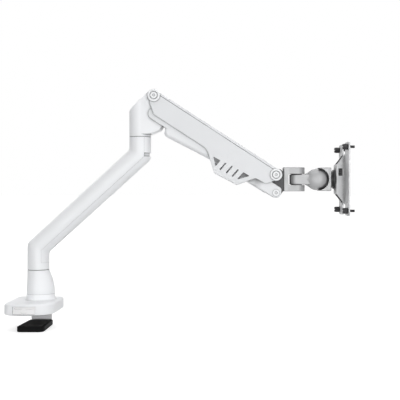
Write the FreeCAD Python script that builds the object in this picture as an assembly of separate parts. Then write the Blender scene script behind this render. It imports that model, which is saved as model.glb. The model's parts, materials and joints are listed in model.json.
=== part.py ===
import FreeCAD, Part
import math
import os

# Gas-spring monitor arm with a desk clamp, in millimetres. +Z is up, +X is the way the arm
# reaches, and the desk comes in from -Y. The origin is on the pole axis, on the desk's surface.

V = FreeCAD.Vector

# ---------------------------------------------------------------- driving dimensions
# clamp base
BASE_LEFT, BASE_RIGHT = -43.0, 34.0
BASE_FRONT, BASE_REAR = -54.5, 37.0
BASE_BOTTOM, BASE_TOP = 1.0, 19.0
PAD_THICKNESS = 2.0
COLLAR_TOP = 28.5
POST_TOP = 67.2
POLE_R = 9.0
CLAMP_SCREW_Y = 27.9
JAW_TOP = -17.0
JAW_THICKNESS = 8.7

# lower arm
TUBE_R = 17.5
TUBE_BORE_R = 13.5
TUBE_BOTTOM, TUBE_TOP = 68.2, 282.2
LOWER_BEND_Z, UPPER_BEND_Z = 103.4, 254.0
ELBOW_X = 165.4
COVER_OFFSET = 8.4
COVER_WALL = 2.0
FIT = 0.05

# elbow and parallelogram
BRACKET_BOTTOM = 283.0
BRACKET_HALF = 17.2
PIVOT_X, PIVOT_Z = 190.0, 348.0
LINK_DROP = 29.0
ARM_LENGTH = 233.0
ARM_SLOPE = 33.0
PIN_R = 4.0
BUSH_R = 5.5
PLATE_IN, PLATE_OUT = 17.5, 19.5
SHELL_IN, SHELL_OUT = 20.0, 22.0
OPEN_VENT, BLIND_VENT = 3.0, 0.9        # vents go through the near side wall, and are pockets in the far one
LINK_BLIND = 18.8
ARM_TOP, ARM_BOTTOM = 8.7, -25.7
SEAM_Z = 4.9
FRAME_TOP = 2.5

# gas spring, in the upper arm's own frame
SPRING_FRONT_X, SPRING_FRONT_Z = 205.0, -9.0
SPRING_ANCHOR_DROP = 15.0
SPRING_LENGTH = 196.9
SPRING_SWING = 1.32
CYLINDER_R, ROD_R = 8.0, 4.0

# head
HEAD_Z = 214.0
SWIVEL_X = 419.5
TILT_X = 453.0
BULB_R = 17.4
EAR_R = 13.2
FORK_BACK, FORK_FACE = 397.5, 405.5
FORK_BOTTOM, FORK_TOP = 194.5, 233.4
SLOT_BOTTOM, SLOT_TOP = 204.5, 222.8
BLOCK_FACE = 474.5
WEB_X, PLATE_FACE, SHEET = 481.4, 498.4, 2.2
CHANNEL_HALF = 14.0
DISC_R = 15.6
PLATE_HALF = 58.0


# ---------------------------------------------------------------- shape helpers
def corner_points(before, corner, after, radius):
    """Where a rounding of this radius starts, its middle and its end, for one corner."""
    to_before = (before - corner).normalize()
    to_after = (after - corner).normalize()
    half = to_before.getAngle(to_after) / 2
    reach = radius / math.tan(half)
    middle = (to_before + to_after).normalize()
    depth = radius / math.sin(half) - radius
    return corner + to_before * reach, corner + middle * depth, corner + to_after * reach


def rounded_wire(corners, place):
    """Closed outline through (u, v, radius) corners; place turns (u, v) into a point."""
    points = [place(u, v) for u, v, _ in corners]
    count = len(points)
    starts, ends, edges = [], [], []
    for i, (_, _, radius) in enumerate(corners):
        if radius == 0:
            starts.append(points[i])
            ends.append(points[i])
            continue
        start, middle, end = corner_points(points[i - 1], points[i], points[(i + 1) % count], radius)
        starts.append(start)
        ends.append(end)
        edges.append((i, Part.Arc(start, middle, end).toShape()))
    for i in range(count):
        start, end = ends[i], starts[(i + 1) % count]
        if start.distanceToPoint(end) > 1e-6:
            edges.append((i + 0.5, Part.LineSegment(start, end).toShape()))
    return Part.Wire([edge for _, edge in sorted(edges, key=lambda item: item[0])])


def prism_y(corners, y0, y1):
    """Outline in X and Z, extruded along Y."""
    wire = rounded_wire(corners, lambda u, v: V(u, y0, v))
    return Part.Face(wire).extrude(V(0, y1 - y0, 0))


def prism_z(corners, z0, z1):
    """Outline in X and Y, extruded along Z."""
    wire = rounded_wire(corners, lambda u, v: V(u, v, z0))
    return Part.Face(wire).extrude(V(0, 0, z1 - z0))


def prism_x(corners, x0, x1):
    """Outline in Y and Z, extruded along X."""
    wire = rounded_wire(corners, lambda u, v: V(x0, u, v))
    return Part.Face(wire).extrude(V(x1 - x0, 0, 0))


def box(x0, x1, y0, y1, z0, z1):
    return Part.makeBox(x1 - x0, y1 - y0, z1 - z0, V(x0, y0, z0))


def disc_x(x0, x1, r, y=0.0, z=HEAD_Z):
    return Part.makeCylinder(r, x1 - x0, V(x0, y, z), V(1, 0, 0))


def disc_y(x, z, r, y0, y1):
    return Part.makeCylinder(r, y1 - y0, V(x, y0, z), V(0, 1, 0))


def disc_z(z0, z1, r, x=0.0, y=0.0):
    return Part.makeCylinder(r, z1 - z0, V(x, y, z0), V(0, 0, 1))


def ring_y(x, z, outer, inner, y0, y1):
    return disc_y(x, z, outer, y0, y1).cut(disc_y(x, z, inner, y0, y1))


def fused(first, *others):
    return first.multiFuse(list(others)).removeSplitter()


def both_sides(shape):
    """A piece and its mirror image across the arm's middle plane, as two solids."""
    return Part.makeCompound([shape, shape.mirror(V(0, 0, 0), V(0, 1, 0))])


def hex_prism(across_flats, height):
    radius = across_flats / math.sqrt(3)
    points = [V(radius * math.cos(math.radians(60 * i)), radius * math.sin(math.radians(60 * i)), 0)
              for i in range(7)]
    return Part.Face(Part.makePolygon(points)).extrude(V(0, 0, height))


def socket_screw(shank_r, length, head_r, head_height, across_flats):
    """Cap screw along Z: the head's underside is at z = 0 and the shank goes down from it."""
    shank = disc_z(-length, 0.0, shank_r)
    head = disc_z(0.0, head_height, head_r)
    head = head.makeChamfer(0.4, [edge for edge in head.Edges if edge.BoundBox.ZMin > head_height - 0.01])
    recess = hex_prism(across_flats, head_height).translate(V(0, 0, head_height * 0.45))
    return fused(shank, head).cut(recess)


def egg_wire(z, left, reach):
    """Half a circle on the left and half an ellipse of this reach on the right, at one height."""
    circle = Part.Arc(V(0, left, z), V(-left, 0, z), V(0, -left, z)).toShape()
    oval = Part.Ellipse(V(reach, 0, z), V(0, left, z), V(0, 0, z))
    return Part.Wire([circle, Part.ArcOfEllipse(oval, -math.pi / 2, math.pi / 2).toShape()])


def egg_loft(sections):
    return Part.makeLoft([egg_wire(*section) for section in sections], True, False)


def edges_at(shape, axis, value, tolerance=0.01):
    """The edges that lie in the plane where this axis has this value."""
    found = []
    for edge in shape.Edges:
        bounds = edge.BoundBox
        low, high = (getattr(bounds, axis + end) for end in ("Min", "Max"))
        if abs(low - value) < tolerance and abs(high - value) < tolerance:
            found.append(edge)
    return found


def on_arm(shape):
    """From the upper arm's own frame, x along it and z square to it, to its place at rest."""
    placed = shape.copy()
    placed.rotate(V(0, 0, 0), V(0, 1, 0), ARM_SLOPE)
    placed.translate(V(PIVOT_X, 0, PIVOT_Z))
    return placed


def on_link(shape):
    """The same for the lower link, whose frame starts at its own rear pivot."""
    return on_arm(shape).translated(V(0, 0, -LINK_DROP))


FRONT_X = PIVOT_X + ARM_LENGTH * math.cos(math.radians(ARM_SLOPE))
FRONT_Z = PIVOT_Z - ARM_LENGTH * math.sin(math.radians(ARM_SLOPE))


# ---------------------------------------------------------------- clamp base
def base_outline(inset=0.0):
    crown = BASE_FRONT - 1.2 + inset
    shoulder = BASE_FRONT + 5.0 + inset
    middle = (BASE_LEFT + BASE_RIGHT) / 2
    return [(BASE_LEFT + inset, BASE_REAR - inset, 9.0 - inset),
            (BASE_LEFT + inset, shoulder, 14.0 - inset),
            (middle, crown, 80.0),
            (BASE_RIGHT - inset, shoulder, 26.0 - inset),
            (BASE_RIGHT - inset, BASE_REAR - inset, 9.0 - inset)]


def base_shell():
    shell = prism_z(base_outline(), BASE_BOTTOM, BASE_TOP)
    shell = shell.makeFillet(4.0, edges_at(shell, "Z", BASE_TOP))
    return shell.makeFillet(2.0, edges_at(shell, "Z", BASE_BOTTOM))


INSERT = dict(x0=-26.3, x1=9.1, z0=2.6, z1=14.6, depth=3.0)


def base_housing():
    housing = base_shell()
    insert_pocket = box(INSERT["x0"], INSERT["x1"], BASE_FRONT - 2, BASE_FRONT + 6,
                        INSERT["z0"], INSERT["z1"])
    behind = base_shell().translated(V(0, INSERT["depth"], 0))
    pad_recess = prism_z(base_outline(4.8), 0.0, PAD_THICKNESS + 0.1)
    bracket_slot = box(-17.0, 17.0, 17.7, 22.4, 0.0, 16.4)
    nut_slot = box(-9.4, 9.4, 22.0, 31.9, 0.0, 9.4)
    screw_hole = disc_z(9.0, 13.0, 3.3, 0, CLAMP_SCREW_Y)
    counterbore = disc_z(12.4, BASE_TOP + 1, 5.4, 0, CLAMP_SCREW_Y)
    cuts = [insert_pocket.cut(behind), pad_recess, bracket_slot, nut_slot, screw_hole, counterbore]
    for x, y in post_screw_places():
        cuts.append(disc_z(0.0, BASE_TOP + 1, 2.7, x, y))
        cuts.append(disc_z(0.0, 7.2, 4.7, x, y))
    return housing.cut(Part.makeCompound(cuts))


def base_pad():
    pad = prism_z(base_outline(5.0), 0.0, PAD_THICKNESS)
    slot = prism_z([(-19.0, 16.0, 2.0), (19.0, 16.0, 2.0), (19.0, 40.0, 0), (-19.0, 40.0, 0)], -1, 3)
    return pad.cut(slot)


def front_insert():
    """Blank plate let into the front, with shallow recesses and no marks."""
    gap = 0.35
    face = base_shell().translated(V(0, 0.5, 0))
    body = box(INSERT["x0"] + gap, INSERT["x1"] - gap, BASE_FRONT - 2, BASE_FRONT + 5.5,
               INSERT["z0"] + gap, INSERT["z1"] - gap)
    body = body.common(face).cut(base_shell().translated(V(0, INSERT["depth"], 0)))
    recess_floor = base_shell().translated(V(0, 1.9, 0))
    for x, length, z in ((-17.8, 12.0, 11.4), (0.4, 12.0, 11.4), (-8.4, 9.0, 5.6)):
        half = length / 2
        groove = prism_y([(x - half, z - 0.9, 0.8), (x + half, z - 0.9, 0.8),
                          (x + half, z + 0.9, 0.8), (x - half, z + 0.9, 0.8)],
                         BASE_FRONT - 2, BASE_FRONT + 5.5)
        body = body.cut(groove.cut(recess_floor))
    return body


def post_screw_places():
    return [(13.0 * math.cos(math.radians(a)), 13.0 * math.sin(math.radians(a))) for a in (30, 150, 270)]


def base_collar():
    """Plinth ring that flares from the post's foot out to the housing's top."""
    collar = egg_loft([(BASE_TOP, 21.2, 28.6), (BASE_TOP + 0.8, 20.0, 27.4), (BASE_TOP + 2.6, 19.2, 26.8),
                       (COLLAR_TOP - 2.5, 18.9, 26.5), (COLLAR_TOP, 18.7, 26.3)])
    cuts = [disc_z(BASE_TOP - 1, COLLAR_TOP + 1, POLE_R)]
    cuts += [disc_z(BASE_TOP - 1, COLLAR_TOP + 1, 2.7, x, y) for x, y in post_screw_places()]
    return collar.cut(Part.makeCompound(cuts))


def base_post():
    """Egg-shaped sleeve: round on the left, flared downwards on the reach side."""
    post = egg_loft([(COLLAR_TOP, 18.4, 25.9), (44.0, 18.3, 25.3), (50.0, 17.9, 24.0), (56.0, 17.6, 22.0),
                     (62.0, 17.55, 19.4), (POST_TOP, 17.5, 17.6)])
    cuts = [disc_z(COLLAR_TOP - 1, POST_TOP + 1, POLE_R)]
    cuts += [disc_z(COLLAR_TOP - 1, COLLAR_TOP + 14, 2.5, x, y) for x, y in post_screw_places()]
    return post.cut(Part.makeCompound(cuts))


def post_screws():
    screws = []
    for x, y in post_screw_places():
        screw = socket_screw(2.5, COLLAR_TOP + 12.0 - 7.2, 4.4, 4.6, 4.0)
        screw.rotate(V(0, 0, 0), V(1, 0, 0), 180)
        screws.append(screw.translated(V(x, y, 7.2)))
    return Part.makeCompound(screws)


def base_pole():
    pole = disc_z(BASE_TOP, 98.0, POLE_R)
    return pole.makeChamfer(1.0, edges_at(pole, "Z", 98.0))


# ---------------------------------------------------------------- clamp
def clamp_bracket():
    """Pressed steel angle: an upright that slides in the base and a foot under the jaw."""
    foot_z = JAW_TOP - JAW_THICKNESS
    profile = [(-20.0, foot_z + 0.3, 0), (22.0, foot_z + 0.3, 5.0), (22.0, 11.0, 1.0),
               (18.0, 11.0, 1.0), (18.0, foot_z + 4.3, 1.0), (-20.0, foot_z + 4.3, 0)]
    wire = rounded_wire(profile, lambda u, v: V(-16.5, u, v))
    bracket = Part.Face(wire).extrude(V(33.0, 0, 0))
    for x in (-9.0, 9.0):
        for y in (-12.0, 6.0):
            bracket = bracket.cut(disc_z(foot_z - 1, foot_z + 5, 2.2, x, y))
            bracket = bracket.cut(Part.makeCone(4.4, 2.2, 2.2, V(x, y, foot_z + 0.3), V(0, 0, 1)))
    return bracket


def clamp_nut():
    """Threaded block welded to the back of the upright."""
    block = prism_z([(-8.6, 22.0, 0), (-8.6, 31.4, 2.5), (8.6, 31.4, 2.5), (8.6, 22.0, 0)], -13.0, -3.0)
    return block.cut(disc_z(-14, -2, 3.0 + FIT, 0, CLAMP_SCREW_Y))


def clamp_jaw():
    bottom = JAW_TOP - JAW_THICKNESS
    jaw = prism_z([(-19.4, 17.7, 1.5), (-22.0, -49.0, 6.0), (21.4, -49.0, 9.0), (19.0, 17.7, 1.5)],
                  bottom, JAW_TOP)
    jaw = jaw.makeFillet(1.6, edges_at(jaw, "Z", bottom))
    jaw = jaw.makeFillet(1.2, edges_at(jaw, "Z", JAW_TOP))
    foot_pocket = box(-16.7, 16.7, -20.2, 20.0, bottom - 1, bottom + 4.4)
    pad_pocket = prism_z([(-17.9, -45.2, 4.2), (17.4, -45.2, 4.2), (15.6, 12.2, 4.2), (-16.0, 12.2, 4.2)],
                         JAW_TOP - 0.8, JAW_TOP + 1)
    jaw = jaw.cut(Part.makeCompound([foot_pocket, pad_pocket]))
    for x in (-9.0, 9.0):
        for y in (-12.0, 6.0):
            jaw = jaw.cut(disc_z(bottom, JAW_TOP - 1.5, 2.0, x, y))
    return jaw


def jaw_pad():
    return prism_z([(-17.7, -45.0, 4.0), (17.2, -45.0, 4.0), (15.4, 12.0, 4.0), (-15.8, 12.0, 4.0)],
                   JAW_TOP - 0.8, JAW_TOP + 0.9)


def jaw_screws():
    bottom = JAW_TOP - JAW_THICKNESS
    screws = []
    for x in (-9.0, 9.0):
        for y in (-12.0, 6.0):
            head = Part.makeCone(4.2, 2.0, 2.2, V(x, y, bottom + 0.4), V(0, 0, 1))
            shank = disc_z(bottom + 2.5, bottom + 6.8, 2.0, x, y)
            socket = hex_prism(2.5, 1.4).translate(V(x, y, bottom + 0.4))
            screws.append(fused(head, shank).cut(socket))
    return Part.makeCompound(screws)


def clamp_screw():
    screw = socket_screw(3.0, 36.0, 5.0, 6.0, 5.0)
    return screw.translated(V(0, CLAMP_SCREW_Y, 12.5))


# ---------------------------------------------------------------- lower arm
LOWER_TURN = math.degrees(math.atan2(ELBOW_X, UPPER_BEND_Z - LOWER_BEND_Z))
BEND_INNER, BEND_OUTER = 9.0, 14.0


def bend_section(radius, angle):
    """One oval of the mitred bend, in the plane through the inner corner's centre."""
    inner = BEND_INNER + TUBE_R - radius
    outer_line = BEND_INNER + TUBE_R + radius
    corner_r = BEND_OUTER - (TUBE_R - radius)
    half = LOWER_TURN / 2
    off = math.radians(abs(angle - half))
    centre = (outer_line - corner_r) / math.cos(math.radians(half))
    tangent = math.degrees(math.atan2(centre * math.sin(math.radians(half)), outer_line))
    from_end = min(angle, LOWER_TURN - angle)
    if from_end >= tangent:
        outer = centre * math.cos(off) + math.sqrt(corner_r ** 2 - (centre * math.sin(off)) ** 2)
    else:
        outer = outer_line / math.cos(math.radians(from_end))
    pivot = V(TUBE_R + BEND_INNER, 0, LOWER_BEND_Z - (TUBE_R + BEND_INNER) * math.tan(math.radians(half)))
    ray = V(-math.cos(math.radians(angle)), 0, math.sin(math.radians(angle)))
    middle = pivot + ray * ((inner + outer) / 2)
    across = (outer - inner) / 2
    oval = Part.Ellipse(middle + ray * (across + 1e-5), middle + V(0, radius, 0), middle)
    return Part.Wire(Part.ArcOfEllipse(oval, math.pi / 2, math.pi * 5 / 2).toShape())


def bend(radius):
    shares = (0.0, 0.18, 0.36, 0.5, 0.64, 0.82, 1.0)
    return Part.makeLoft([bend_section(radius, LOWER_TURN * share) for share in shares], True, False)


def end_face(solid, point):
    """The flat end of a bend that lies nearest to a point."""
    return min((face for face in solid.Faces if isinstance(face.Surface, Part.Plane)),
               key=lambda face: face.CenterOfMass.distanceToPoint(point))


def arm_tube(radius, bottom=TUBE_BOTTOM, top=TUBE_TOP):
    """Upright, slanted and upright again, round all the way, with two mitred bends."""
    reach = (TUBE_R + BEND_INNER) * math.tan(math.radians(LOWER_TURN / 2))
    slope = V(math.sin(math.radians(LOWER_TURN)), 0, math.cos(math.radians(LOWER_TURN)))
    low_corner, high_corner = V(0, 0, LOWER_BEND_Z), V(ELBOW_X, 0, UPPER_BEND_Z)
    lower_bend = bend(radius)
    upper_bend = lower_bend.copy()
    upper_bend.rotate((low_corner + high_corner) / 2, V(0, 1, 0), 180)
    lower = end_face(lower_bend, V(0, 0, 0)).extrude(V(0, 0, bottom - LOWER_BEND_Z + reach))
    slanted_length = low_corner.distanceToPoint(high_corner) - 2 * reach
    slanted = end_face(lower_bend, high_corner).extrude(slope * slanted_length)
    upper = end_face(upper_bend, V(ELBOW_X, 0, 400)).extrude(V(0, 0, top - UPPER_BEND_Z - reach))
    return lower.multiFuse([lower_bend, slanted, upper_bend, upper], 1e-4)


def under_side(offset, z0, z1):
    """Everything more than offset to the lower right of the tube's line, between two heights."""
    shift = offset * math.tan(math.radians(LOWER_TURN / 2))
    region = prism_y([(offset, z0 - 200, 0), (offset, LOWER_BEND_Z - shift, 0),
                      (ELBOW_X + offset, UPPER_BEND_Z - shift, 0), (ELBOW_X + offset, z1 + 200, 0),
                      (ELBOW_X + 40, z1 + 200, 0), (ELBOW_X + 40, z0 - 200, 0)], -30, 30)
    return region.common(box(-50, 250, -40, 40, z0, z1))


def along_slope(shape):
    """From a line up Z to the slanted run's line, starting at the lower bend's corner."""
    placed = shape.copy()
    placed.rotate(V(0, 0, 0), V(0, 1, 0), LOWER_TURN)
    return placed.translated(V(0, 0, LOWER_BEND_Z))


LONG_COVER = (79.6, 250.8)
SHORT_COVER = (256.8, TUBE_TOP)
SLANT_LENGTH = math.hypot(ELBOW_X, UPPER_BEND_Z - LOWER_BEND_Z)


def cable_way():
    """Round bore along the slanted run, open along the cover's side for the cables."""
    bore = disc_z(26.0, SLANT_LENGTH - 26.0, TUBE_BORE_R)
    groove = box(0.0, 20.0, -9.0, 9.0, 26.0, SLANT_LENGTH - 26.0)
    return along_slope(fused(bore, groove))


def cable_opening():
    """Rounded slot through the long cover's underside, just above the lower bend."""
    opening = box(TUBE_BORE_R, 20.0, -5.0, 5.0, 20.0, 56.0)
    opening = opening.makeFillet(4.5, [edge for edge in opening.Edges if edge.BoundBox.XLength > 5.0])
    return along_slope(opening)


def lower_arm_tube():
    full = arm_tube(TUBE_R)
    core = arm_tube(TUBE_R - COVER_WALL - 0.2, TUBE_BOTTOM - 1, TUBE_TOP + 1)
    recess = under_side(COVER_OFFSET - 0.2, LONG_COVER[0] - 0.2, TUBE_TOP + 1).cut(core)
    tube = full.cut(recess).cut(cable_way())
    socket = disc_z(TUBE_BOTTOM - 1, 99.5, 12.5)
    shaft_bore = disc_z(244.0, TUBE_TOP + 1, POLE_R, ELBOW_X)
    tube = tube.cut(Part.makeCompound([socket, shaft_bore]))
    return max(tube.Solids, key=lambda solid: solid.Volume)


def tube_cover(z0, z1):
    outer = arm_tube(TUBE_R)
    inner = arm_tube(TUBE_R - COVER_WALL, TUBE_BOTTOM - 1, TUBE_TOP + 1)
    cover = outer.common(under_side(COVER_OFFSET, z0, z1)).cut(inner).cut(cable_opening())
    return max(cover.Solids, key=lambda solid: solid.Volume)


def flanged_bush(x, z0, z1, outer, inner, flange_r, flange_z0):
    sleeve = disc_z(z0, z1, outer, x)
    flange = disc_z(flange_z0, flange_z0 + 0.8, flange_r, x)
    return fused(sleeve, flange).cut(disc_z(min(z0, flange_z0) - 1, max(z1, flange_z0) + 2, inner, x))


def pole_bush():
    return flanged_bush(0.0, TUBE_BOTTOM - 0.8, 98.6, 12.5, POLE_R + FIT, 16.8, TUBE_BOTTOM - 0.8)


def elbow_shaft():
    shaft = disc_z(244.0, 311.0, POLE_R, ELBOW_X)
    return shaft.makeChamfer(1.0, edges_at(shaft, "Z", 311.0))


# ---------------------------------------------------------------- elbow bracket
def elbow_bracket():
    """Cast knuckle: round foot, flat cheeks, sloped back and a chin under the arm."""
    left = ELBOW_X - TUBE_R
    side = [(left, BRACKET_BOTTOM, 0), (left, 323.8, 7.0), (183.2, 357.0, 10.0), (200.0, 357.4, 9.5),
            (200.4, 311.0, 3.0), (195.0, 305.7, 1.0), (202.4, 300.3, 2.0), (199.0, 294.0, 8.0),
            (184.6, 287.6, 2.0), (182.9, 287.4, 0), (182.9, BRACKET_BOTTOM, 0)]
    body = prism_y(side, -TUBE_R, TUBE_R)
    plan = fused(disc_z(BRACKET_BOTTOM - 1, 370, TUBE_R, ELBOW_X),
                 box(ELBOW_X, 210, -BRACKET_HALF, BRACKET_HALF, 287.0, 370))
    body = body.common(plan)
    slot = prism_y([(180.0, 309.0, 2.0), (215.0, 309.0, 0), (215.0, 365.0, 0), (180.0, 365.0, 0)],
                   -8.0, 8.0)
    screw_pocket = box(171.0, 181.0, -5.6, 5.6, 318.0, 341.0)
    screw_bore = disc_z(313.5, 345.0, 2.6, 176.0)
    screw_head = disc_z(343.6, 365.0, 5.0, 176.0)
    bush_bore = disc_z(BRACKET_BOTTOM - 1, 311.6, 12.0, ELBOW_X)
    pins = [disc_y(PIVOT_X, PIVOT_Z - drop, PIN_R, -25, 25) for drop in (0.0, LINK_DROP)]
    window = prism_y([(195.0, 340.5, 1.5), (178.0, 340.5, 1.5), (178.0, 325.5, 1.5), (195.0, 325.5, 1.5)],
                     -7.9, 7.9)
    cuts = [slot, screw_pocket, screw_bore, screw_head, bush_bore, window]
    return body.cut(Part.makeCompound(cuts + pins))


def elbow_bush():
    return flanged_bush(ELBOW_X, BRACKET_BOTTOM, 311.6, 12.0, POLE_R + FIT, 12.0, BRACKET_BOTTOM)


def elbow_washer():
    """Thin slip ring that shows as the dark line under the bracket."""
    ring = disc_z(TUBE_TOP + 0.1, BRACKET_BOTTOM - 0.1, 16.8, ELBOW_X)
    return ring.cut(disc_z(TUBE_TOP, BRACKET_BOTTOM, POLE_R + 0.2, ELBOW_X))


def pivot_pin(x, z, half_length):
    pin = disc_y(x, z, PIN_R, -half_length, half_length)
    ends = edges_at(pin, "Y", -half_length) + edges_at(pin, "Y", half_length)
    return pin.makeChamfer(0.6, ends)


def tension_carriage():
    """Fork that carries the gas spring's rear pin and climbs the tension screw."""
    z0, z1 = 327.0, 339.0
    nut = box(171.6, 180.4, -5.2, 5.2, z0, z1).cut(disc_z(z0 - 1, z1 + 1, 2.5, 176.0))
    bridge = box(178.6, 180.4, -7.6, 7.6, z0, z1)
    arm = prism_y([(178.6, z0, 0), (190.0, z0, 5.0), (196.0, z0 + 1, 5.0), (196.0, z1 - 1, 5.0),
                   (190.0, z1, 5.0), (178.6, z1, 0)], 4.5, 7.6)
    arms = [arm, arm.mirror(V(0, 0, 0), V(0, 1, 0))]
    carriage = fused(nut, bridge, *arms)
    return carriage.cut(disc_y(PIVOT_X, PIVOT_Z - SPRING_ANCHOR_DROP, 3.0, -9, 9))


def spring_anchor_pin():
    return disc_y(PIVOT_X, PIVOT_Z - SPRING_ANCHOR_DROP, 3.0, -7.6, 7.6)


def tension_screw():
    screw = socket_screw(2.5, 29.8, 4.6, 4.6, 4.0)
    return screw.translated(V(176.0, 0, 343.7))


# ---------------------------------------------------------------- upper arm
COVER_SCREW_X, COVER_SCREW_Z = (60.0, 185.0), -5.0


def frame_bar():
    """Side bar of the frame, from eye to eye."""
    bar = prism_y([(0, FRAME_TOP, 0), (ARM_LENGTH, FRAME_TOP, 0), (ARM_LENGTH, -8.5, 0),
                   (ARM_LENGTH - 18, -13.0, 6.0), (18, -13.0, 6.0), (0, -8.5, 0)], PLATE_IN, PLATE_OUT)
    eyes = [disc_y(x, 0, 9.4, PLATE_IN, PLATE_OUT) for x in (0, ARM_LENGTH)]
    return fused(bar, *eyes)


def arm_frame():
    bar = frame_bar()
    web = box(20, 196, -PLATE_IN, PLATE_IN, FRAME_TOP - 2.2, FRAME_TOP)
    for x in (42.0, 86.0, 130.0, 172.0):
        web = web.cut(prism_z([(x - 13, -6, 5.5), (x + 13, -6, 5.5), (x + 13, 6, 5.5), (x - 13, 6, 5.5)],
                              0, 4))
    frame = fused(bar, bar.mirror(V(0, 0, 0), V(0, 1, 0)), web)
    frame = frame.cut(disc_y(0, 0, BUSH_R, -25, 25))
    frame = frame.cut(disc_y(ARM_LENGTH, 0, PIN_R, -25, 25))
    for x in COVER_SCREW_X:
        frame = frame.cut(disc_y(x, COVER_SCREW_Z, 1.4, -25, 25))
    return frame.cut(disc_y(SPRING_FRONT_X, SPRING_FRONT_Z, 3.5, -25, 25))


def frame_bushes():
    return both_sides(ring_y(0, 0, BUSH_R, PIN_R + FIT, PLATE_IN, PLATE_OUT))


def shell_outline():
    return [(0.0, ARM_TOP, 0), (ARM_LENGTH, ARM_TOP + 0.6, 0), (ARM_LENGTH + 4.0, -8.0, 0),
            (233.4, -13.0, 2.0), (227.0, -21.2, 6.0), (208.6, -22.4, 5.0), (188.8, -48.1, 3.0),
            (148.4, -51.9, 2.5), (118.0, ARM_BOTTOM, 24.0), (16.2, ARM_BOTTOM, 2.0), (1.5, -14.5, 2.0),
            (-3.0, -7.0, 0)]


def shell_body(y0, y1, ear_r):
    body = prism_y(shell_outline(), y0, y1)
    ears = [disc_y(x, 0, ear_r, y0, y1) for x in (0, ARM_LENGTH)]
    return fused(body, *ears)


def vent_cuts(depth):
    """Three slanted slots between two corner windows, cut this deep into the deep part of the side."""
    y0, y1 = SHELL_OUT - depth, SHELL_OUT + 1
    cuts = []
    for x, z in ((154.5, -35.2), (165.7, -34.0), (176.8, -33.3)):
        high, low = z + 7.2, z - 7.2
        cuts.append(prism_y([(x - 0.3, high, 1.0), (x + 2.2, high, 1.0),
                             (x + 0.3, low, 1.0), (x - 2.2, low, 1.0)], y0, y1))
    cuts.append(prism_y([(132.9, -30.3, 0.7), (146.1, -29.3, 0.7), (144.7, -41.6, 0.7)], y0, y1))
    cuts.append(prism_y([(187.0, -25.2, 0.7), (198.8, -24.7, 0.7), (184.2, -41.1, 0.7)], y0, y1))
    return Part.makeCompound(cuts)


def pin_relief():
    """Hollow in the side wall that the link's front pin sweeps through when the arm is raised."""
    sweep = ring_y(ARM_LENGTH, 0, LINK_DROP + 5.8, LINK_DROP - 5.8, SHELL_IN - 0.5, SHELL_IN + 1.2)
    return sweep.common(box(211.0, 231.0, 0, SHELL_OUT, -40.0, -8.0))


def seam_groove():
    """Fine line along the side wall, from cap to cap, that sets off the rounded top strip."""
    return box(8.4, ARM_LENGTH - 8.0, SHELL_OUT - 0.8, SHELL_OUT + 1, SEAM_Z - 0.4, SEAM_Z + 0.4)


def arm_cover(vent_depth):
    """Half of the moulded casing on +Y: side wall, half of the top wall and the belly's lip."""
    outer = shell_body(0.0, SHELL_OUT, 10.0)
    rim = edges_at(outer, "Y", SHELL_OUT)
    outer = outer.makeFillet(1.4, rim)
    inside = prism_y([(-20.0, ARM_TOP - 2.0, 0), (260.0, ARM_TOP - 1.4, 0), (260.0, -60.0, 0),
                      (-20.0, -60.0, 0)], -1.0, SHELL_IN)
    belly = prism_y([(150.5, -49.0, 0), (187.0, -46.2, 0), (187.0, -60.0, 0), (150.5, -60.0, 0)],
                    12.0, SHELL_OUT)
    belly_lip = outer.common(belly)
    hollow = fused(outer.cut(inside), belly_lip)
    rear_gap = box(-20, 13.5, -1.0, SHELL_IN, -20, 20)
    front_gap = box(222.0, 260, -1.0, SHELL_IN, -30, 20)
    holes = [disc_y(x, 0, 6.0, SHELL_IN - 2, SHELL_OUT + 1) for x in (0, ARM_LENGTH)]
    bosses = [ring_y(x, COVER_SCREW_Z, 3.2, 1.4, PLATE_OUT, SHELL_IN) for x in COVER_SCREW_X]
    holes += [disc_y(x, COVER_SCREW_Z, 1.4, SHELL_IN - 1, SHELL_IN + 1.3) for x in COVER_SCREW_X]
    cover = hollow.cut(Part.makeCompound([rear_gap, front_gap] + holes))
    for cut in (vent_cuts(vent_depth), pin_relief(), seam_groove()):
        cover = cover.cut(cut)
    cover = fused(cover, *bosses)
    return max(cover.Solids, key=lambda solid: solid.Volume)


def pivot_cap(x, radius):
    """Round cap on +Y: a plug in the casing, a rounded rim, a ring groove and a centre dimple."""
    rim, top = SHELL_OUT + 0.4, SHELL_OUT + 2.2
    outline = [(0.0, SHELL_IN), (5.8, SHELL_IN), (5.8, SHELL_OUT + 0.05), (radius - 1.8, SHELL_OUT + 0.05),
               (radius - 1.8, rim), (radius, rim)]
    face = [(radius - 1.5, top), (6.7, top), (6.4, top - 0.9), (5.5, top - 0.9), (5.2, top), (2.4, top),
            (1.9, top - 0.9), (0.0, top - 0.9), (0.0, SHELL_IN)]
    edges = [Part.makePolygon([V(r, y, 0) for r, y in points]) for points in (outline, face)]
    middle = V(radius - 0.3, top - 0.45, 0)
    edges.append(Part.Arc(V(radius, rim, 0), middle, V(radius - 1.5, top, 0)).toShape())
    wire = Part.Wire(Part.__sortEdges__([edge for piece in edges for edge in piece.Edges]))
    return Part.Face(wire).revolve(V(0, 0, 0), V(0, 1, 0), 360).translated(V(x, 0, 0))


def cover_screws():
    """Small screws, driven from inside the frame, that hold the casing halves to its bars."""
    screws = []
    for x in COVER_SCREW_X:
        head = disc_y(x, COVER_SCREW_Z, 2.6, PLATE_IN - 1.6, PLATE_IN)
        shank = disc_y(x, COVER_SCREW_Z, 1.4, PLATE_IN, SHELL_IN + 1.2)
        screws.append(fused(head, shank))
    return both_sides(Part.makeCompound(screws))


def front_upper_pin():
    return disc_y(ARM_LENGTH, 0, PIN_R, -PLATE_OUT, PLATE_OUT)


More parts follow.
